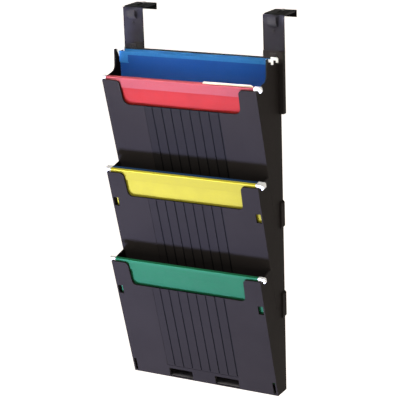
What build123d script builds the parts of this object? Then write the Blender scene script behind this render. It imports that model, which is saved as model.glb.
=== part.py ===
"""Three-pocket rack for hanging file folders, hung over a partition on two steel straps.

Frame: X to the right, Y back towards the partition, Z up. The origin is on the
partition's front top edge, midway between the straps. Units are millimetres.
"""

from build123d import *
import math
import os

# ---- Rack -------------------------------------------------------------------------
pocket_width = 311.0
pocket_pitch = 173.9  # height that each pocket adds
front_height = 247.2  # top of the ears above the pocket's own base
mouth_depth = 101.7  # front to back at the ears
base_depth = 36.1  # front to back at the base
side_wall = 2.5
back_wall = 2.5
base_wall = 2.5
front_wall = 3.0
fit_gap = 0.4  # between pockets that meet
back_height = 288.5  # the top pocket's back panel and raised rails

# Side rails: the walls rise from the ears towards the back.
rail_rise = 0.229  # per millimetre of depth
riser_front = 57.0  # depth where the top pocket's raised rails start
riser_lean = 1.4
riser_round = 12.0  # inside corner at their foot
rail_stop = 5.0  # thickness of the stop at the front of the raised rails
rail_stop_top = 295.0

# Finger scoop in each front, and its grooved band.
scoop_half_width = 120.5
scoop_floor = 201.0
scoop_ear_round = 8.0
scoop_corner_top = 13.0
scoop_corner_lower = 9.0
band_half_width = 77.0
band_recess = 0.5
groove_count = 8
groove_width = 2.4
groove_depth = 1.1
groove_foot = 27.0

# Openings in the fronts: centre in X, bottom and top height, width.
foot_window = {"x": 49.7, "low": 2.6, "high": 20.3, "width": 50.6}
corner_slot = {"x": 149.6, "low": 3.0, "high": 29.0, "width": 5.6}
side_slot = {"x": 147.6, "low": 178.0, "high": 195.5, "width": 10.6}

# Locating tabs on top of the add-on pockets, and their slots. Each tab is the inner
# half of the back wall.
tab_x = 60.0
tab_width = 40.0
tab_thickness = 1.25
tab_height = 6.0
tab_clearance = 0.2

# Strap flanges and strap recess on the top pocket.
strap_x = 143.8
strap_width = 41.9
strap_thickness = 1.5
strap_bottom = 188.0  # above the top pocket's base
strap_top = 365.6
flange_depth = 10.0
flange_top = 300.2
recess_depth = 1.7
pad_width = 34.0
lip_window_width = 14.0
upstand_spans = ((-142.5, -124.0), (123.2, 155.5))

# Hangers: the steel straps, and the sliding rear hooks on their top plates.
top_plate_end = 45.0
bend_radius = 1.4
plate_corner = 2.0
lower_lip = {"root": 281.5, "reach": 5.3, "rise": 1.0, "tall": 14.2, "width": 13.0}
spare_lip = {"root": 343.0, "reach": 9.75, "rise": 6.0, "tall": 11.5, "width": 16.5}
strap_screw_z = 335.5  # above the top pocket's base
strap_screw_radius = 2.0
strap_screw_head_radius = 2.5
strap_screw_head_height = 1.3
screw_gap = 0.05
slide_gap = 0.1
hook_front = 3.0
hook_reach = 51.5  # outer face of the rear flange
hook_drop = 12.9
clamp_y = 40.0
clamp_radius = 2.0
clamp_head_radius = 3.7
clamp_head_height = 2.2
slot_clearance = 0.3
slot_start = 18.0
slot_end = 44.0

# Joiner clips.
joiner_height = 51.4
joiner_depth = 14.5
joiner_thickness = 3.2
joiner_chamfer = 2.8
joiner_peg_radius = 2.4
joiner_peg_gap = 0.06
joiner_peg_y = 7.2
joiner_peg_spread = 13.0
wall_gap = 0.1

# Hanging folders. Heights in a slanted pocket are measured up the front's slope, and
# depths in from its outer face.
folder_width = 298.5
card = 0.7
hem_height = 20.0
hem_pitch = 2.1  # card centre to card centre around a rod
hem_room = 0.4  # above the rod, inside the hem
hem_round = 1.0
flap_length = 238.0
rod_thickness = 1.2
rod_height = 9.0
coat_start = 149.6
coat_thickness = 2.4
coat_web_end = 152.5
coat_notch_end = 159.6
coat_tip_end = 163.3
coat_tip_drop = 9.0
coat_corner = 2.0
shank_height = 5.0
rail_gap = 0.3

# Manila folder inside the red hanging folder.
manila_width = 295.0
manila_sheet = 0.4
manila_front = 7.15
manila_rear = 8.25
manila_fold = 26.0
manila_front_top = 251.5
manila_rear_top = 253.8
manila_tab_top = 264.0
manila_tab_start = 48.0

# ---- Derived ----------------------------------------------------------------------
half_width = pocket_width / 2
riser_foot = front_height + (mouth_depth - riser_front) * rail_rise
seat_drop = 2 * strap_thickness + slide_gap
top_base_z = seat_drop - strap_top
base_z = {
    "top": top_base_z,
    "middle": top_base_z - pocket_pitch,
    "bottom": top_base_z - 2 * pocket_pitch,
}
front_lean = math.atan2(mouth_depth - base_depth, front_height)
lean_sin = math.sin(front_lean)
lean_cos = math.cos(front_lean)
depth_per_height = math.tan(front_lean)
groove_pitch = 2 * band_half_width / groove_count
tab_y = -back_wall + tab_thickness / 2

os.makedirs("parts", exist_ok=True)


def save(part, label):
    """Names a finished piece and writes it as its own file."""
    part.label = label
    export_step(part, f"parts/{label}.step")


def front_face_plane(base):
    """Plane on a front's outer face: local x across, local y up the slant."""
    return Plane(
        origin=(0, -base_depth, base),
        x_dir=(1, 0, 0),
        z_dir=(0, -lean_cos, -lean_sin),
    )


def side_outline(kind):
    """Outline of a pocket from the side, as (Y, height above base) points."""
    points = [(0, 0), (-base_depth, 0), (-mouth_depth, front_height)]
    if kind == "top":
        riser_top = riser_front - riser_lean
        points += [
            (-riser_front, riser_foot),
            (-riser_top, rail_stop_top - 1.5),
            (-riser_top + 1.5, rail_stop_top),
            (-riser_top + rail_stop, rail_stop_top),
            (-riser_top + rail_stop + 2, back_height),
            (0, back_height),
        ]
        return points
    # An add-on pocket's walls stop just in front of and under the pocket above.
    gap_foot = base_depth + fit_gap
    height = front_height + (mouth_depth - gap_foot + pocket_pitch * depth_per_height) * rail_rise
    height = height / (1 + rail_rise * depth_per_height)
    depth = gap_foot + (height - pocket_pitch) * depth_per_height
    points += [
        (-depth, height),
        (-gap_foot, pocket_pitch - fit_gap / 2),
        (0, pocket_pitch - fit_gap / 2),
    ]
    return points


def cavity_outline():
    """Outline of a pocket's inside, open at the top."""
    inner = base_depth - front_wall / lean_cos
    reach = 2 * front_height
    return [
        (-back_wall, base_wall),
        (-inner - base_wall * depth_per_height, base_wall),
        (-inner - reach * depth_per_height, reach),
        (-back_wall, reach),
    ]


def scoop_sketch(base, corner_round):
    """Finger scoop: wide at the top, with round ears and round lower corners."""
    floor = scoop_floor / lean_cos
    ear = front_height / lean_cos
    edge = scoop_half_width
    shoulder = scoop_half_width + scoop_ear_round
    bend = scoop_ear_round * math.sqrt(0.5)
    with BuildSketch(front_face_plane(base)) as scoop:
        with BuildLine():
            Polyline((0, ear + 40), (shoulder, ear + 40), (shoulder, ear))
            ThreePointArc(
                (shoulder, ear),
                (shoulder - bend, ear - scoop_ear_round + bend),
                (edge, ear - scoop_ear_round),
            )
            Polyline((edge, ear - scoop_ear_round), (edge - 1.5, floor), (0, floor))
            mirror(about=Plane.YZ)
        make_face()
        fillet(scoop.vertices().group_by(Axis.Y)[0].filter_by(lambda v: abs(v.X) > 1), corner_round)
    return scoop.sketch


def openings_sketch(base, slots):
    """Windows and slots through a front, in pairs."""
    with BuildSketch(front_face_plane(base)) as openings:
        for slot in slots:
            middle = (slot["low"] + slot["high"]) / 2 / lean_cos
            tall = (slot["high"] - slot["low"]) / lean_cos
            with Locations((-slot["x"], middle), (slot["x"], middle)):
                RectangleRounded(slot["width"], tall, 1.0)
    return openings.sketch


def strap_mounting(base):
    """Pads, upstands and outer flanges that take the straps, on the top pocket."""
    foot = base + strap_bottom
    pad_centre = half_width - side_wall - pad_width / 2
    flange_width = strap_x + strap_width / 2 - half_width
    with BuildPart() as mounting:
        # Pads inside the back, so that the wall stays whole behind the strap recess.
        with BuildSketch(Plane.XY.offset(foot - 4)):
            for side in (-1, 1):
                with Locations((side * pad_centre, -recess_depth - back_wall / 2)):
                    Rectangle(pad_width, back_wall)
        extrude(amount=base + back_height - foot + 4)
        # Flanges outside the side walls.
        for side, top in ((-1, back_height), (1, flange_top)):
            with BuildSketch(Plane.XY.offset(foot)):
                with Locations((side * (half_width + flange_width / 2), -flange_depth / 2)):
                    Rectangle(flange_width, flange_depth)
            extrude(amount=top - strap_bottom)
        # Upstands above the back panel. The left one covers half of its strap.
        with BuildSketch(Plane.XY.offset(base + back_height)):
            for left, right in upstand_spans:
                with Locations(((left + right) / 2, -recess_depth - back_wall / 2)):
                    Rectangle(right - left, back_wall)
        extrude(amount=flange_top - back_height)
    return mounting.part


def strap_clearance(base):
    """Recesses for the straps, and windows for their lower lips."""
    foot = base + strap_bottom
    with BuildPart() as clearance:
        with BuildSketch(Plane.XY.offset(foot - fit_gap)):
            for side in (-1, 1):
                with Locations((side * (strap_x + 5), -recess_depth / 2)):
                    Rectangle(strap_width + 10.6, recess_depth)
        extrude(amount=flange_top - strap_bottom + 1)
        with BuildSketch(Plane.XZ.offset(recess_depth - 0.1)):
            for side in (-1, 1):
                with Locations((side * strap_x, base + lower_lip["root"] + 1.2)):
                    Rectangle(lip_window_width, 4.6)
        extrude(amount=back_wall + 0.2)
    return clearance.part


def make_pocket(kind, corner_round):
    """One moulded pocket."""
    base = base_z[kind]
    is_top = kind == "top"
    face = front_face_plane(base)
    band_foot = groove_foot / lean_cos
    ear = front_height / lean_cos
    slots = [foot_window, corner_slot] if is_top else [foot_window, corner_slot, side_slot]
    scoop = scoop_sketch(base, corner_round)
    openings = openings_sketch(base, slots)
    peg_heights = {
        "top": [joiner_peg_spread],
        "middle": [joiner_peg_spread, pocket_pitch - joiner_peg_spread],
        "bottom": [pocket_pitch - joiner_peg_spread],
    }[kind]
    if is_top:
        mounting = strap_mounting(base)
        clearance = strap_clearance(base)

    with BuildPart() as pocket:
        with BuildSketch(Plane.YZ.offset(-half_width)) as side:
            with BuildLine():
                Polyline(*[(y, base + z) for y, z in side_outline(kind)], close=True)
            make_face()
            if is_top:
                foot = side.vertices().sort_by_distance((-riser_front, base + riser_foot))[0]
                fillet(foot, riser_round)
        extrude(amount=pocket_width)
        with BuildSketch(Plane.YZ.offset(-half_width + side_wall)):
            with BuildLine():
                Polyline(*[(y, base + z) for y, z in cavity_outline()], close=True)
            make_face()
        extrude(amount=pocket_width - 2 * side_wall, mode=Mode.SUBTRACT)
        extrude(scoop, amount=front_wall * 4, both=True, mode=Mode.SUBTRACT)

        # Grooved band, recessed a little into the front.
        with BuildSketch(face):
            with Locations((0, (band_foot + ear) / 2)):
                Rectangle(2 * band_half_width, ear - band_foot)
        extrude(amount=-band_recess, mode=Mode.SUBTRACT)
        with BuildSketch(face):
            for index in range(groove_count):
                x = -band_half_width + (index + 1) * groove_pitch - groove_width
                with Locations((x, (band_foot + 2 + ear) / 2)):
                    Rectangle(groove_width, ear - band_foot - 2)
        extrude(amount=-band_recess - groove_depth, mode=Mode.SUBTRACT)
        extrude(openings, amount=-front_wall * 1.6, mode=Mode.SUBTRACT)

        # Locating slots in the base for the tabs of the pocket below.
        with BuildSketch(Plane.XY.offset(base)):
            with Locations((-tab_x, tab_y), (tab_x, tab_y)):
                Rectangle(tab_width + 2 * tab_clearance, tab_thickness + 2 * tab_clearance)
        extrude(amount=tab_height + 2 * tab_clearance, mode=Mode.SUBTRACT)
        if is_top:
            add(mounting)
            add(clearance, mode=Mode.SUBTRACT)
        else:
            with BuildSketch(Plane.XY.offset(base + pocket_pitch - fit_gap / 2)):
                with Locations((-tab_x, tab_y), (tab_x, tab_y)):
                    Rectangle(tab_width, tab_thickness)
            extrude(amount=tab_height)

        # Holes for the joiner pegs.
        with BuildSketch(Plane.YZ.offset(-half_width - 1)):
            with Locations(*[(-joiner_peg_y, base + height) for height in peg_heights]):
                Circle(joiner_peg_radius + joiner_peg_gap)
        extrude(amount=pocket_width + 2, mode=Mode.SUBTRACT)
    save(pocket.part, f"{kind}_pocket")


def make_joiner(level, side):
    """Clip over the joint between two pockets, at a rear corner."""
    joint = base_z["top"] if level == "upper" else base_z["middle"]
    name = "left" if side < 0 else "right"
    inner = side * (half_width + wall_gap)
    with BuildPart() as joiner:
        with BuildSketch(Plane.YZ.offset(inner)):
            with Locations((-joiner_depth / 2, joint)):
                Rectangle(joiner_depth, joiner_height)
        extrude(amount=side * joiner_thickness)
        outer = joiner.faces().sort_by(Axis.X)[-1 if side > 0 else 0]
        ends = outer.edges().filter_by(Axis.Y)
        chamfer(ends, joiner_chamfer, angle=50)
        fillet(joiner.edges().filter_by(Axis.X), 1.2)
        with BuildSketch(Plane.YZ.offset(inner)):
            with Locations(
                (-joiner_peg_y, joint - joiner_peg_spread),
                (-joiner_peg_y, joint + joiner_peg_spread),
            ):
                Circle(joiner_peg_radius)
        extrude(amount=-side * (wall_gap + side_wall))
    save(joiner.part, f"joiner_{level}_{name}")


def lip_outline(lip):
    """Centreline of a lip on a strap, as (Y, Z) points: arm, then upturned end."""
    root = base_z["top"] + lip["root"]
    knee = root + lip["rise"]
    return [(-strap_thickness / 2, root), (-lip["reach"], knee), (-lip["reach"], knee + lip["tall"])]


def make_hanger(side):
    """Steel strap: it hangs over the partition's top and carries the top pocket."""
    name = "left" if side < 0 else "right"
    foot = base_z["top"] + strap_bottom
    x = side * strap_x
    with BuildPart() as hanger:
        with BuildSketch(Plane.YZ.offset(x)) as section:
            with BuildLine():
                Polyline(
                    (0, foot),
                    (0, 0),
                    (top_plate_end, 0),
                    (top_plate_end, strap_thickness),
                    (-strap_thickness, strap_thickness),
                    (-strap_thickness, foot),
                    close=True,
                )
            make_face()
            corner = section.vertices().sort_by(lambda v: v.Z - v.Y)[-1]
            fillet(corner, bend_radius)
        extrude(amount=strap_width / 2, both=True)
        for lip in (lower_lip, spare_lip):
            with BuildSketch(Plane.YZ.offset(x)):
                with BuildLine():
                    centre = FilletPolyline(*lip_outline(lip), radius=1.2)
                trace(centre, line_width=strap_thickness)
            extrude(amount=lip["width"] / 2, both=True)
        # Holes for the strap screw and for the clamp screw.
        with BuildSketch(Plane.XZ.offset(-1)):
            with Locations((x, base_z["top"] + strap_screw_z)):
                Circle(strap_screw_radius + screw_gap)
        extrude(amount=strap_thickness + 2, mode=Mode.SUBTRACT)
        with BuildSketch(Plane.XY.offset(-1)):
            with Locations((x, clamp_y)):
                Circle(clamp_radius + screw_gap)
        extrude(amount=strap_thickness + 2, mode=Mode.SUBTRACT)
        # Rounded corners at the end of the top plate.
        with BuildSketch(Plane.XY.offset(foot - 1)) as plan:
            with Locations((x, 0)):
                Rectangle(strap_width, 2 * top_plate_end)
            fillet(plan.vertices().group_by(Axis.Y)[-1], plate_corner)
        extrude(amount=-foot + 10, mode=Mode.INTERSECT)
    save(hanger.part, f"hanger_{name}")


def make_rear_hook(side):
    """Sliding plate on a strap's top plate, with the flange behind the partition."""
    name = "left" if side < 0 else "right"
    x = side * strap_x
    low = strap_thickness + slide_gap
    high = low + strap_thickness
    with BuildPart() as hook:
        with BuildSketch(Plane.YZ.offset(x)) as section:
            with BuildLine():
                Polyline(
                    (hook_front, low),
                    (hook_reach - strap_thickness, low),
                    (hook_reach - strap_thickness, high - hook_drop),
                    (hook_reach, high - hook_drop),
                    (hook_reach, high),
                    (hook_front, high),
                    close=True,
                )
            make_face()
            corner = section.vertices().sort_by(lambda v: v.Z + v.Y)[-1]
            fillet(corner, bend_radius)
        extrude(amount=strap_width / 2, both=True)
        with BuildSketch(Plane.XY.offset(low - 0.1)):
            with Locations((x, (slot_start + slot_end) / 2)):
                SlotCenterToCenter(
                    slot_end - slot_start,
                    2 * (clamp_radius + slot_clearance),
                    rotation=90,
                )
        extrude(amount=strap_thickness + 0.2, mode=Mode.SUBTRACT)
        with BuildSketch(Plane.XY.offset(-20)) as plan:
            with Locations((x, (hook_front + hook_reach) / 2)):
                Rectangle(strap_width, hook_reach - hook_front)
            fillet(plan.vertices().group_by(Axis.Y)[0], plate_corner)
        extrude(amount=30, mode=Mode.INTERSECT)
    save(hook.part, f"rear_hook_{name}")


def make_clamp_screw(side):
    """Pan-head screw that clamps the rear hook to the strap's top plate."""
    name = "left" if side < 0 else "right"
    seat = 2 * (strap_thickness + slide_gap)
    top = seat + clamp_head_height
    with BuildPart() as screw:
        with BuildSketch(Plane.XY):
            with Locations((side * strap_x, clamp_y)):
                Circle(clamp_radius)
        extrude(amount=top - 0.5)
        with BuildSketch(Plane.XY.offset(seat)):
            with Locations((side * strap_x, clamp_y)):
                Circle(clamp_head_radius)
        extrude(amount=clamp_head_height)
        fillet(screw.edges().group_by(Axis.Z)[-1], 1.0)
        with BuildSketch(Plane.XY.offset(top - 1.2)):
            with Locations((side * strap_x, clamp_y)):
                Rectangle(3.6, 0.9, rotation=45)
                Rectangle(3.6, 0.9, rotation=-45)
        extrude(amount=1.3, mode=Mode.SUBTRACT)
    save(screw.part, f"clamp_screw_{name}")


def make_strap_screw(side):
    """Small dark screw in the front of a strap."""
    name = "left" if side < 0 else "right"
    seat = strap_thickness + screw_gap
    with BuildPart() as screw:
        with BuildSketch(Plane.XZ):
            with Locations((side * strap_x, base_z["top"] + strap_screw_z)):
                Circle(strap_screw_radius)
        extrude(amount=seat + 0.5)
        with BuildSketch(Plane.XZ.offset(seat)):
            with Locations((side * strap_x, base_z["top"] + strap_screw_z)):
                Circle(strap_screw_head_radius)
        extrude(amount=strap_screw_head_height)
        fillet(screw.edges().group_by(Axis.Y)[0], 0.8)
    save(screw.part, f"strap_screw_{name}")


def coat_outline(top, drop, side):
    """Coated end of a rod, as (across, up) points: web, shank over the wall, tip."""
    points = [
        (coat_start, top - drop - rod_height),
        (coat_start, top),
        (coat_tip_end - coat_corner, top),
        (coat_tip_end, top - coat_corner),
        (coat_tip_end, top - coat_tip_drop),
        (coat_notch_end, top - coat_tip_drop),
        (coat_notch_end, top - shank_height),
        (coat_web_end, top - shank_height),
    ]
    return [(side * x, up) for x, up in points]


def make_rod(plane, top, drop, label):
    """Steel strip along a hem, with a coated hook at each end that stands above it."""
    with BuildPart() as rod:
        with BuildSketch(plane):
            with Locations((0, top - drop - rod_height / 2)):
                Rectangle(2 * coat_start + 2, rod_height)
        extrude(amount=rod_thickness / 2, both=True)
        with BuildSketch(plane):
            for side in (-1, 1):
                with BuildLine():
                    Polyline(*coat_outline(top, drop, side), close=True)
                make_face()
        extrude(amount=coat_thickness / 2, both=True)
    save(rod.part, label)


def section_plane(folder):
    """Plane across a folder's hems: local x towards the back, local y up the folder."""
    base = base_z[folder["pocket"]]
    if folder["upright"]:
        return Plane(origin=(0, 0, base), x_dir=(0, 1, 0), z_dir=(1, 0, 0))
    return Plane(origin=(0, -base_depth, base), x_dir=(0, lean_cos, lean_sin), z_dir=(1, 0, 0))


def sheet_plane(folder, depth):
    """Plane along a folder's card, at a depth in the section plane."""
    section = section_plane(folder)
    return Plane(
        origin=section.from_local_coords((depth, 0, 0)),
        x_dir=(1, 0, 0),
        z_dir=-section.x_dir,
    )


def rod_top(folder, depth):
    """Top of a rod's coated ends, which rest on the pocket's rails."""
    if folder["upright"]:
        rail = back_height
    else:
        rail = front_height / lean_cos - depth * math.tan(front_lean - math.atan(rail_rise))
    return rail + rail_gap + shank_height


def make_folder(folder):
    """One folded card with a hem along each top edge."""
    front = folder["front"]
    rear = folder["rear"]
    half = hem_pitch / 2
    hem_above = hem_room + card / 2 - folder["drop"]
    front_top = rod_top(folder, front) + hem_above
    rear_top = rod_top(folder, rear) + hem_above
    bottom = front_top - flap_length
    points = [
        (front - half, front_top - hem_height),
        (front - half, front_top),
        (front + half, front_top),
        (folder["fold"] - folder["fold_half"], bottom),
        (folder["fold"] + folder["fold_half"], bottom),
        (rear - half, rear_top),
        (rear + half, rear_top),
        (rear + half, rear_top - hem_height),
    ]
    with BuildPart() as body:
        with BuildSketch(section_plane(folder)):
            with BuildLine():
                centre = FilletPolyline(*points, radius=hem_round)
            trace(centre, line_width=card)
        extrude(amount=folder_width / 2, both=True)
    save(body.part, f"{folder['name']}_folder")


def make_manila(folder):
    """Plain folder with an end tab, standing inside a hanging folder."""
    half = manila_width / 2
    with BuildPart() as manila:
        with BuildSketch(section_plane(folder)):
            with BuildLine():
                centre = FilletPolyline(
                    (manila_front, manila_front_top),
                    (manila_front, manila_fold),
                    (manila_rear, manila_fold),
                    (manila_rear, manila_rear_top),
                    radius=0.5,
                )
            trace(centre, line_width=manila_sheet)
        extrude(amount=half, both=True)
        with BuildSketch(sheet_plane(folder, manila_rear)) as tab:
            with Locations(((manila_tab_start + half) / 2, (manila_rear_top + manila_tab_top) / 2 - 4)):
                Rectangle(half - manila_tab_start, manila_tab_top - manila_rear_top + 8)
            fillet(tab.vertices().group_by(Axis.Z)[-1], 5)
        extrude(amount=manila_sheet / 2, both=True)
    save(manila.part, "manila_folder")


# Depths of each folder's rods and fold; drop is how far its strips lie below their hooks.
folders = [
    {"name": "blue", "pocket": "top", "upright": True, "drop": 3.7,
     "front": -46.6, "rear": -27.0, "fold": -36.8, "fold_half": 1.1},
    {"name": "red", "pocket": "top", "upright": False, "drop": 1.2,
     "front": 5.3, "rear": 10.1, "fold": 7.7, "fold_half": 1.35},
    {"name": "navy", "pocket": "middle", "upright": False, "drop": 1.2,
     "front": 12.5, "rear": 16.1, "fold": 14.3, "fold_half": 1.1},
    {"name": "yellow", "pocket": "middle", "upright": False, "drop": 1.2,
     "front": 5.3, "rear": 9.1, "fold": 7.2, "fold_half": 1.1},
    {"name": "green", "pocket": "bottom", "upright": False, "drop": 1.2,
     "front": 5.3, "rear": 9.1, "fold": 7.2, "fold_half": 1.1},
]

make_pocket("top", scoop_corner_top)
make_pocket("middle", scoop_corner_lower)
make_pocket("bottom", scoop_corner_lower)
for side in (-1, 1):
    make_joiner("upper", side)
    make_joiner("lower", side)
    make_hanger(side)
    make_rear_hook(side)
    make_clamp_screw(side)
    make_strap_screw(side)
for folder in folders:
    make_folder(folder)
    for end in ("front", "rear"):
        depth = folder[end]
        top = rod_top(folder, depth)
        make_rod(sheet_plane(folder, depth), top, folder["drop"], f"{folder['name']}_{end}_rod")
    if folder["name"] == "red":
        make_manila(folder)
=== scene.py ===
"""Looks for the hanging file rack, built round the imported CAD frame. Lengths in metres."""

import math

import bpy
from mathutils import Matrix, Vector


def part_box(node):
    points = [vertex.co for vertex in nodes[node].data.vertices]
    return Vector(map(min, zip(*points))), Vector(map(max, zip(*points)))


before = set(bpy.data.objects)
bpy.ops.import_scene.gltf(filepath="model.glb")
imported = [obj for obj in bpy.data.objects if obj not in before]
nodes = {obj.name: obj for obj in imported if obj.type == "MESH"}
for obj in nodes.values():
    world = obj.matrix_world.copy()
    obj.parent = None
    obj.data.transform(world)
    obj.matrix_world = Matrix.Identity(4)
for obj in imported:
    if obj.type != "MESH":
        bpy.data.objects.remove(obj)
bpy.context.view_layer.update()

# ---- Sizes --------------------------------------------------------------------------

POCKET_BASE = {kind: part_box(f"{kind}_pocket")[0].z for kind in ("top", "middle", "bottom")}

# A pocket's front leans out from its base, and all folders but one hang in line with it.
FRONT_RUN = 0.0656
FRONT_RISE = 0.2472
FRONT_BASE_Y = -0.0361
LEAN = math.atan2(FRONT_RUN, FRONT_RISE)
LEAN_SIN = math.sin(LEAN)
LEAN_COS = math.cos(LEAN)

# The grooved band of a front. Depths are in from the front's outer face.
BAND_HALF_WIDTH = 0.077
BAND_DEPTH = 0.0035
GROOVE_DEPTH = (0.0006, 0.0012)

# Dust lies inside a pocket: behind its front, ahead of its back panel, between its side
# walls, and from just above its base up to where it fades out.
DUST_DEPTH = 0.0024
DUST_REAR_Y = -0.0022
DUST_HALF_WIDTH = 0.1495
DUST_START = (0.001, 0.002)
DUST_FADE = (0.012, 0.045)

# The straps' lips are ahead of this.
LIP_Y = -0.0035

# How far from the middle the rods' coating starts, and the cards' cut ends.
COATED_FROM = 0.1495
CUT_FROM = 0.14918

# A folder's top edge, from its pocket's base along the folder. The crown and the fade into
# the lower colour, which is painted shade, are measured down from there.
SLANTED_TOP = 0.26078
UPRIGHT_TOP = 0.2912
CROWN = (0.0026, 0.0008)
LOW_SHADE_FADE = (0.075, 0.015)

# Widths of the rounded edges, on mouldings and on small or pressed pieces.
POCKET_EDGE = 0.0012
SMALL_EDGE = 0.0003

# ---- Colours ------------------------------------------------------------------------


def linear(red, green, blue):
    """Scene-linear colour from display values of 0 to 255."""

    def one(value):
        value = value / 255.0
        if value <= 0.04045:
            return value / 12.92
        return ((value + 0.055) / 1.055) ** 2.4

    return (one(red), one(green), one(blue), 1.0)


def scaled(colour, factor):
    return (colour[0] * factor, colour[1] * factor, colour[2] * factor, 1.0)


PLASTIC = (0.0189, 0.0161, 0.0147, 1.0)
BAND_PLASTIC = (0.0126, 0.0112, 0.0106, 1.0)
# Painted shade: near-black for the shade inside the front's grooves.
GROOVE_PAINTED_SHADE = (0.006, 0.006, 0.006, 1.0)
DUST = (0.230, 0.212, 0.212, 1.0)
STRAP_PAINT = (0.0140, 0.0130, 0.0172, 1.0)
# Painted shade: the rear hooks get a near-black copy of the straps' powder coat for the shade
# they sit in.
SHADED_HOOK_PAINT = (0.0050, 0.0053, 0.0045, 1.0)
PALE_LIP_GREY = linear(51, 49, 45)
PLATED = (linear(120, 120, 122), linear(165, 164, 160))
SCREW_BLACK = ((0.006, 0.006, 0.006, 1.0), (0.014, 0.013, 0.013, 1.0))
COATING_WHITE = (linear(248, 247, 243), linear(232, 230, 224))
BARE_STEEL = (linear(96, 98, 102), linear(142, 143, 146))
CARD_CORE = linear(226, 214, 200)
MANILA = (linear(207, 192, 164), linear(214, 200, 173))
MANILA_FLECK = linear(196, 170, 128)

# How far the grooved band is darkened, from 0 to 1: its own darker tone, made stronger on the
# top pocket and a little on the middle one as painted shade.
BAND_TONE_AND_PAINTED_SHADE = {"top": 0.85, "middle": 0.35, "bottom": 0.3}

# The band is the inner side of the card, turned over the rod. The patch is a pool of light
# painted in the band's colour, where the band reaches deeper: left of an x, and down to a
# depth. Low is a greyer colour painted towards the lower fold as shade.
# Rub is how strongly a highlight is painted paler on the crown of the upper fold, from 0 to
# 1.
FOLDERS = {
    "blue": {
        "pocket": "top",
        "upright": True,
        "colour": (0.0002, 0.0268, 0.1360, 1.0),
        # Painted shade: a greyer blue towards the lower fold.
        "low": (0.0125, 0.0310, 0.1260, 1.0),
        "band": (0.0110, 0.0880, 0.2200, 1.0),
        "band_height": 0.0067,
        # Painted light: a pool of light on the card's upper left corner.
        "painted_light_patch": (-0.131, 0.0225),
    },
    "red": {
        "pocket": "top",
        "upright": False,
        "colour": (0.2440, 0.0125, 0.0102, 1.0),
        "band": (0.2240, 0.0410, 0.0430, 1.0),
        "band_height": 0.020,
        "crown_highlight": 0.35,
    },
    "navy": {
        "pocket": "middle",
        "upright": False,
        "colour": (0.0095, 0.0312, 0.0725, 1.0),
        "band": (0.0134, 0.0510, 0.1190, 1.0),
        "band_height": 0.020,
    },
    "yellow": {
        "pocket": "middle",
        "upright": False,
        "colour": (0.3110, 0.2700, 0.0190, 1.0),
        "band": (0.2890, 0.2500, 0.0180, 1.0),
        "band_height": 0.020,
        "crown_highlight": 0.9,
    },
    "green": {
        "pocket": "bottom",
        "upright": False,
        "colour": (0.0063, 0.0893, 0.0356, 1.0),
        "band": (0.0091, 0.1030, 0.0436, 1.0),
        "band_height": 0.006,
        "crown_highlight": 0.35,
    },
}

# ---- Node helpers -------------------------------------------------------------------


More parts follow.
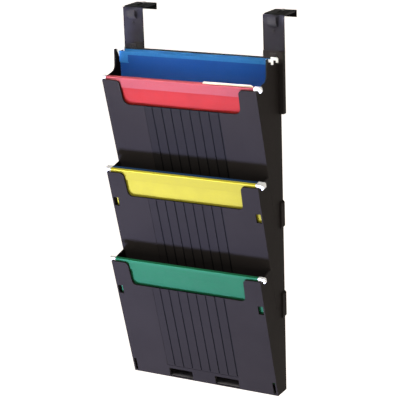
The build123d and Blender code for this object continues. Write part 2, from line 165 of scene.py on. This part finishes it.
class Tree:
    """A material's node tree, with short calls for the nodes used here."""

    def __init__(self, name):
        self.material = bpy.data.materials.new(name)
        self.material.use_nodes = True
        self.tree = self.material.node_tree
        self.shader = self.tree.nodes["Principled BSDF"]
        self.coords = self.tree.nodes.new("ShaderNodeTexCoord").outputs["Object"]

    def node(self, kind, **values):
        made = self.tree.nodes.new(kind)
        for key, value in values.items():
            setattr(made, key, value)
        return made

    def link(self, source, target):
        self.tree.links.new(source, target)

    def feed(self, socket, value):
        """Links a socket, or sets it to a number or colour."""
        if isinstance(value, bpy.types.NodeSocket):
            self.link(value, socket)
        else:
            socket.default_value = value

    def math(self, operation, a, b=0.0):
        made = self.node("ShaderNodeMath", operation=operation)
        self.feed(made.inputs[0], a)
        self.feed(made.inputs[1], b)
        return made.outputs[0]

    def product(self, first, *others):
        for other in others:
            first = self.math("MULTIPLY", first, other)
        return first

    def below(self, value, limit):
        """1 below a limit and 0 above it."""
        return self.math("LESS_THAN", value, limit)

    def above(self, value, limit):
        """1 above a limit and 0 below it."""
        return self.math("GREATER_THAN", value, limit)

    def separate(self):
        """The point's x, y and z."""
        made = self.node("ShaderNodeSeparateXYZ")
        self.link(self.coords, made.inputs[0])
        return made.outputs[0], made.outputs[1], made.outputs[2]

    def dot(self, direction, offset):
        """Distance along a direction, less an offset."""
        made = self.node("ShaderNodeVectorMath", operation="DOT_PRODUCT")
        self.link(self.coords, made.inputs[0])
        made.inputs[1].default_value = direction
        return self.math("SUBTRACT", made.outputs["Value"], offset)

    def stretch(self, scale):
        made = self.node("ShaderNodeMapping")
        self.link(self.coords, made.inputs["Vector"])
        made.inputs["Scale"].default_value = scale
        return made.outputs[0]

    def noise(self, scale, detail=2.0, roughness=0.5, vector=None, distortion=0.0):
        made = self.node("ShaderNodeTexNoise")
        self.link(vector or self.coords, made.inputs["Vector"])
        made.inputs["Scale"].default_value = scale
        made.inputs["Detail"].default_value = detail
        made.inputs["Roughness"].default_value = roughness
        made.inputs["Distortion"].default_value = distortion
        return made.outputs["Fac"]

    def cells(self, scale):
        made = self.node("ShaderNodeTexVoronoi")
        self.link(self.coords, made.inputs["Vector"])
        made.inputs["Scale"].default_value = scale
        return made.outputs["Distance"]

    def ramp(self, value, low, high, start=0.0, end=1.0):
        """Value mapped smoothly from low..high to start..end, clamped."""
        made = self.node("ShaderNodeMapRange", interpolation_type="SMOOTHSTEP")
        self.feed(made.inputs["Value"], value)
        made.inputs["From Min"].default_value = low
        made.inputs["From Max"].default_value = high
        made.inputs["To Min"].default_value = start
        made.inputs["To Max"].default_value = end
        return made.outputs["Result"]

    def mix(self, factor, a, b):
        """Colour a where the factor is 0, and b where it is 1."""
        made = self.node("ShaderNodeMix", data_type="RGBA")
        self.feed(made.inputs["Factor"], factor)
        self.feed(made.inputs[6], a)
        self.feed(made.inputs[7], b)
        return made.outputs[2]

    def bump(self, height, strength, distance):
        made = self.node("ShaderNodeBump")
        made.inputs["Strength"].default_value = strength
        made.inputs["Distance"].default_value = distance
        self.link(height, made.inputs["Height"])
        return made.outputs["Normal"]

    def set(self, **values):
        """Sets or links the shader's inputs, with _ for a space in a name."""
        for key, value in values.items():
            self.feed(self.shader.inputs[key.replace("_", " ")], value)


# ---- Materials ----------------------------------------------------------------------


def moulded_plastic(name, base_z=None, band_tone_and_painted_shade=0.0):
    """Dark grey plastic with a fine moulded grain. A pocket, which has a base, also has
    a darker band on its front, with its grooves painted near-black as shade, and dust on its
    floor."""
    t = Tree(name)
    cloud = t.noise(9.0, 4.0, 0.6)
    speck = t.noise(900.0, 2.0, 0.6)
    colour = t.mix(t.ramp(cloud, 0.35, 0.7), scaled(PLASTIC, 0.95), scaled(PLASTIC, 1.06))
    colour = t.mix(t.ramp(speck, 0.5, 0.75, 0.0, 0.25), colour, scaled(PLASTIC, 1.5))
    scratches = t.noise(60.0, 5.0, 0.8, t.stretch((1.0, 14.0, 3.0)), 0.4)
    rough = t.ramp(scratches, 0.4, 0.75, 0.50, 0.60)
    if base_z is not None:
        x, y, z = t.separate()
        across = t.math("ABSOLUTE", x)
        front_offset = LEAN_COS * FRONT_BASE_Y + LEAN_SIN * base_z
        depth = t.dot((0.0, LEAN_COS, LEAN_SIN), front_offset)
        band = t.product(t.below(across, BAND_HALF_WIDTH), t.below(depth, BAND_DEPTH))
        # The grooves are painted near-black, as painted shade.
        groove_shade_mask = t.product(band, t.ramp(depth, *GROOVE_DEPTH))
        # The band's own darker tone, with painted shade that is strongest on the top pocket.
        colour = t.mix(t.product(band, band_tone_and_painted_shade), colour, BAND_PLASTIC)
        colour = t.mix(groove_shade_mask, colour, GROOVE_PAINTED_SHADE)
        # The dust shows through the windows at the front's foot.
        height = t.math("SUBTRACT", z, base_z)
        inside = t.product(
            t.above(depth, DUST_DEPTH),
            t.below(y, DUST_REAR_Y),
            t.below(across, DUST_HALF_WIDTH),
            t.ramp(height, *DUST_FADE, 1.0, 0.0),
            t.ramp(height, *DUST_START),
        )
        drifts = t.ramp(t.noise(70.0, 4.0, 0.7), 0.3, 0.6, 0.5, 1.0)
        colour = t.mix(t.product(inside, drifts), colour, DUST)
        rough = t.math("SUBTRACT", rough, t.product(band, 0.03))
    grain = t.cells(1500.0)
    fine = t.noise(3200.0, 3.0, 0.7)
    relief = t.math("ADD", grain, t.product(fine, 0.7))
    t.set(Base_Color=colour, Roughness=rough, Specular_IOR_Level=0.015)
    t.set(Normal=t.bump(relief, 0.35, 0.00008))
    return t.material


def powder_coat(name, base):
    """Powder coat on steel, with paler grey patches on the lips ahead of the strap."""
    t = Tree(name)
    cloud = t.noise(18.0, 3.0, 0.55)
    colour = t.mix(t.ramp(cloud, 0.3, 0.7), scaled(base, 0.93), scaled(base, 1.07))
    # Paler grey in patches on what stands ahead of the strap's front: the lips.
    pale_patches = t.ramp(t.noise(420.0, 4.0, 0.7), 0.36, 0.56)
    pale_lip_mask = t.product(t.below(t.separate()[1], LIP_Y), pale_patches)
    colour = t.mix(pale_lip_mask, colour, PALE_LIP_GREY)
    peel = t.noise(650.0, 2.0, 0.5)
    fine = t.noise(2600.0, 2.0, 0.6)
    relief = t.math("ADD", peel, t.product(fine, 0.3))
    t.set(Base_Color=colour, Specular_IOR_Level=0.06)
    t.set(Roughness=t.ramp(cloud, 0.3, 0.7, 0.42, 0.5))
    t.set(Normal=t.bump(relief, 0.4, 0.00006))
    return t.material


def screw_finish(name, blotch, colours, roughness, **shader):
    """A screw's finish: a blotched colour, with a scale for the blotches, and faint grain."""
    t = Tree(name)
    t.set(Base_Color=t.mix(t.noise(blotch, 3.0, 0.6), *colours))
    t.set(Roughness=t.ramp(t.noise(900.0), 0.3, 0.7, *roughness), **shader)
    t.set(Normal=t.bump(t.noise(1500.0, 3.0), 0.3, 0.00005))
    return t.material


def rod_coating():
    """White plastic coating on the rod ends, and the bare steel strip between them."""
    t = Tree("rod_coating")
    coat = t.above(t.math("ABSOLUTE", t.separate()[0]), COATED_FROM)
    smudge = t.noise(160.0, 4.0, 0.65)
    white = t.mix(t.ramp(smudge, 0.45, 0.7), *COATING_WHITE)
    steel = t.mix(t.noise(300.0, 3.0, 0.6, t.stretch((0.05, 1.0, 1.0))), *BARE_STEEL)
    t.set(Base_Color=t.mix(coat, steel, white))
    t.set(Metallic=t.math("SUBTRACT", 1.0, coat))
    t.set(Roughness=t.ramp(smudge, 0.3, 0.7, 0.30, 0.42))
    t.set(Normal=t.bump(t.noise(700.0), 0.25, 0.00006))
    return t.material


def card(name, folder):
    """A hanging folder's card: fibres, faint mottling and paler cut ends."""
    t = Tree(name)
    colour = folder["colour"]
    base_z = POCKET_BASE[folder["pocket"]]
    if folder["upright"]:
        top = UPRIGHT_TOP
        up = t.dot((0.0, 0.0, 1.0), base_z)
    else:
        top = SLANTED_TOP
        slant_offset = -LEAN_SIN * FRONT_BASE_Y + LEAN_COS * base_z
        up = t.dot((0.0, -LEAN_SIN, LEAN_COS), slant_offset)
    x = t.separate()[0]
    fibres = t.noise(420.0, 4.0, 0.7, t.stretch((0.35, 1.0, 1.0)), 0.6)
    mottle = t.noise(26.0, 4.0, 0.6)
    body = t.mix(t.ramp(mottle, 0.3, 0.7), scaled(colour, 0.96), scaled(colour, 1.04))
    # Towards the lower fold the card is painted a greyer colour, as painted shade.
    if "low" in folder:
        low_shade = t.ramp(up, top - LOW_SHADE_FADE[0], top - LOW_SHADE_FADE[1])
        body = t.mix(low_shade, folder["low"], body)
    band = t.above(up, top - folder["band_height"])
    # A pool of light painted in the band's colour at the upper left corner.
    if "painted_light_patch" in folder:
        light_patch_x, light_patch_depth = folder["painted_light_patch"]
        light_patch_mask = t.product(t.below(x, light_patch_x), t.above(up, top - light_patch_depth))
        band = t.math("MAXIMUM", band, light_patch_mask)
    body = t.mix(band, body, folder["band"])
    body = t.mix(t.ramp(fibres, 0.42, 0.72, 0.0, 0.16), body, scaled(colour, 1.35))
    if "crown_highlight" in folder:
        # Painted highlight: the crown of the upper fold is painted paler, for the light it
        # catches.
        crown = t.ramp(up, top - CROWN[0], top - CROWN[1])
        body = t.mix(t.product(crown, folder["crown_highlight"]), body, scaled(folder["band"], 2.2))
    cut = t.above(t.math("ABSOLUTE", x), CUT_FROM)
    body = t.mix(t.product(cut, 0.45), body, CARD_CORE)
    relief = t.math("ADD", fibres, t.product(t.noise(1700.0), 0.5))
    t.set(Base_Color=body, Specular_IOR_Level=0.14)
    t.set(Roughness=t.ramp(fibres, 0.3, 0.7, 0.62, 0.78))
    t.set(Normal=t.bump(relief, 0.3, 0.00007))
    return t.material


def manila_card():
    """Cream card with fibres and brown flecks."""
    t = Tree("manila_card")
    fibres = t.noise(380.0, 4.0, 0.7, t.stretch((0.4, 1.0, 1.0)), 0.5)
    flecks = t.ramp(t.noise(1100.0, 2.0, 0.7), 0.68, 0.76)
    body = t.mix(t.ramp(t.noise(20.0, 3.0), 0.3, 0.7), *MANILA)
    body = t.mix(t.product(flecks, 0.35), body, MANILA_FLECK)
    t.set(Base_Color=body, Specular_IOR_Level=0.25)
    t.set(Roughness=t.ramp(fibres, 0.3, 0.7, 0.6, 0.75))
    t.set(Normal=t.bump(fibres, 0.3, 0.00006))
    return t.material


def use(node, material):
    """Gives a CAD node its material."""
    slots = nodes[node].data.materials
    slots.clear()
    slots.append(material)


# Materials that pieces share, by how the pieces' names start.
SHARED = {
    "joiner": moulded_plastic("clip_plastic"),
    "hanger": powder_coat("strap_paint", STRAP_PAINT),
    # The rear hooks' powder coat is darkened as painted shade.
    "rear_hook": powder_coat("shaded_hook_paint", SHADED_HOOK_PAINT),
    "clamp_screw": screw_finish("plated_steel", 500.0, PLATED, (0.28, 0.45), Metallic=1.0),
    "strap_screw": screw_finish(
        "black_screw", 700.0, SCREW_BLACK, (0.45, 0.6), Specular_IOR_Level=0.1
    ),
}
coating = rod_coating()
for node in nodes:
    for start, material in SHARED.items():
        if node.startswith(start):
            use(node, material)
    if node.endswith("_rod"):
        use(node, coating)
for kind, base_z in POCKET_BASE.items():
    node = f"{kind}_pocket"
    use(node, moulded_plastic(f"{node}_plastic", base_z, BAND_TONE_AND_PAINTED_SHADE[kind]))
for name, folder in FOLDERS.items():
    use(f"{name}_folder", card(f"{name}_card", folder))
use("manila_folder", manila_card())

# ---- Rounded edges ------------------------------------------------------------------

FLAT_ANGLE = math.radians(0.5)
SHARP_ANGLE = math.radians(40)


def soften(node, width):
    """Small rounded edges, as a moulding or a pressing has."""
    modifiers = nodes[node].modifiers
    flat = modifiers.new("merge_flats", "DECIMATE")
    flat.decimate_type = "DISSOLVE"
    flat.angle_limit = FLAT_ANGLE
    edge = modifiers.new("rounded_edges", "BEVEL")
    edge.width = width
    edge.segments = 2
    edge.limit_method = "ANGLE"
    edge.angle_limit = SHARP_ANGLE
    edge.use_clamp_overlap = True
    edge.harden_normals = True


for node in nodes:
    if node.endswith("_pocket"):
        soften(node, POCKET_EDGE)
    elif node.startswith(("joiner", "hanger", "rear_hook")):
        soften(node, SMALL_EDGE)

# ---- Floor --------------------------------------------------------------------------

FLOOR_Z = -1.9
FLOOR_RADIUS = 30.0
FLOOR_SIDES = 96
RIM_TOP = 1.6
FLOOR_COLOUR = (0.8, 0.8, 0.8, 1.0)
FLOOR_GLOW = (1.0, 0.945, 0.885, 1.0)
FLOOR_STRENGTH = 1.06


def add(name, data):
    """A new object in the scene, round a mesh, a light or a camera."""
    made = bpy.data.objects.new(name, data)
    bpy.context.scene.collection.objects.link(made)
    return made


def make_floor():
    """A round floor that turns up into a low rim, so that its far edge stays out of view."""
    points = []
    for z in (FLOOR_Z, RIM_TOP):
        for index in range(FLOOR_SIDES):
            turn = math.tau * index / FLOOR_SIDES
            points.append((FLOOR_RADIUS * math.cos(turn), FLOOR_RADIUS * math.sin(turn), z))
    faces = [tuple(range(FLOOR_SIDES))]
    for index in range(FLOOR_SIDES):
        after = (index + 1) % FLOOR_SIDES
        faces.append((index, index + FLOOR_SIDES, after + FLOOR_SIDES, after))
    mesh = bpy.data.meshes.new("floor")
    mesh.from_pydata(points, [], faces)
    floor = add("floor", mesh)
    t = Tree("pale_floor")
    t.set(Base_Color=FLOOR_COLOUR, Roughness=0.9, Specular_IOR_Level=0.0)
    t.set(Emission_Color=FLOOR_GLOW, Emission_Strength=FLOOR_STRENGTH)
    mesh.materials.append(t.material)


# ---- Light --------------------------------------------------------------------------

STUDIO_COLOUR = (1.0, 0.95, 0.90, 1.0)
STUDIO_STRENGTH = 0.12
WHITE_LIGHT = (1.0, 1.0, 1.0)
KEY_LIGHT = (1.0, 1.08, 1.86)

# The middle of the rack, and where the key light stands as seen from there.
TARGET = Vector((0.0, -0.06, -0.33))
KEY_AZIMUTH = math.radians(26)
KEY_ELEVATION = math.radians(-39.3)
KEY_DISTANCE = 2.4


def make_studio():
    """Faint even light from all round."""
    world = bpy.data.worlds.new("studio")
    bpy.context.scene.world = world
    world.use_nodes = True
    background = world.node_tree.nodes["Background"]
    background.inputs["Color"].default_value = STUDIO_COLOUR
    background.inputs["Strength"].default_value = STUDIO_STRENGTH


def area_light(name, position, target, size, power, colour=WHITE_LIGHT, spread=180):
    """A round lamp turned to a target, with its power in watts and spread in degrees."""
    data = bpy.data.lights.new(name, "AREA")
    data.shape = "DISK"
    data.size = size
    data.energy = power
    data.color = colour
    data.spread = math.radians(spread)
    light = add(name, data)
    light.location = position
    aim = Vector(target) - Vector(position)
    light.rotation_euler = aim.to_track_quat("-Z", "Y").to_euler()


def make_lights():
    """A bluish key from low on the left, and three fills."""
    key_offset = Vector((
        -math.sin(KEY_AZIMUTH) * math.cos(KEY_ELEVATION),
        -math.cos(KEY_AZIMUTH) * math.cos(KEY_ELEVATION),
        math.sin(KEY_ELEVATION),
    ))
    key_place = TARGET + KEY_DISTANCE * key_offset
    area_light("key", key_place, (-0.3, -0.06, -0.05), 0.55, 33.2, KEY_LIGHT, spread=80)
    area_light("fill", (-0.3, -2.0, 1.7), TARGET, 1.2, 52.0)
    area_light("top_fill", (-0.5, -2.2, 0.66), (0.0, 0.0, 0.10), 0.3, 1.70, spread=12)
    area_light("back", (-1.6, 2.2, -0.5), TARGET, 1.2, 16.0)


# ---- Camera -------------------------------------------------------------------------

CAMERA_PLACE = (1.279, -2.364, 0.4437)
YAW = math.radians(28.73)
PITCH = math.radians(16.53)
ROLL = math.radians(-1.99)
SENSOR = 36.0
LENS = 134.88
CLIP_END = 200.0


def make_camera():
    """The photograph's camera, high on the right and looking down to the left."""
    data = bpy.data.cameras.new("camera")
    data.sensor_width = SENSOR
    data.lens = LENS
    data.clip_end = CLIP_END
    camera = add("camera", data)
    forward = Vector((
        -math.sin(YAW) * math.cos(PITCH),
        math.cos(YAW) * math.cos(PITCH),
        -math.sin(PITCH),
    ))
    level = Vector((math.cos(YAW), math.sin(YAW), 0.0))
    upright = level.cross(forward)
    right = level * math.cos(ROLL) + upright * math.sin(ROLL)
    up = right.cross(forward)
    place = Matrix((right, up, -forward)).transposed().to_4x4()
    place.translation = CAMERA_PLACE
    camera.matrix_world = place
    bpy.context.scene.camera = camera


make_floor()
make_studio()
make_lights()
make_camera()
bpy.context.scene.view_settings.view_transform = "Standard"
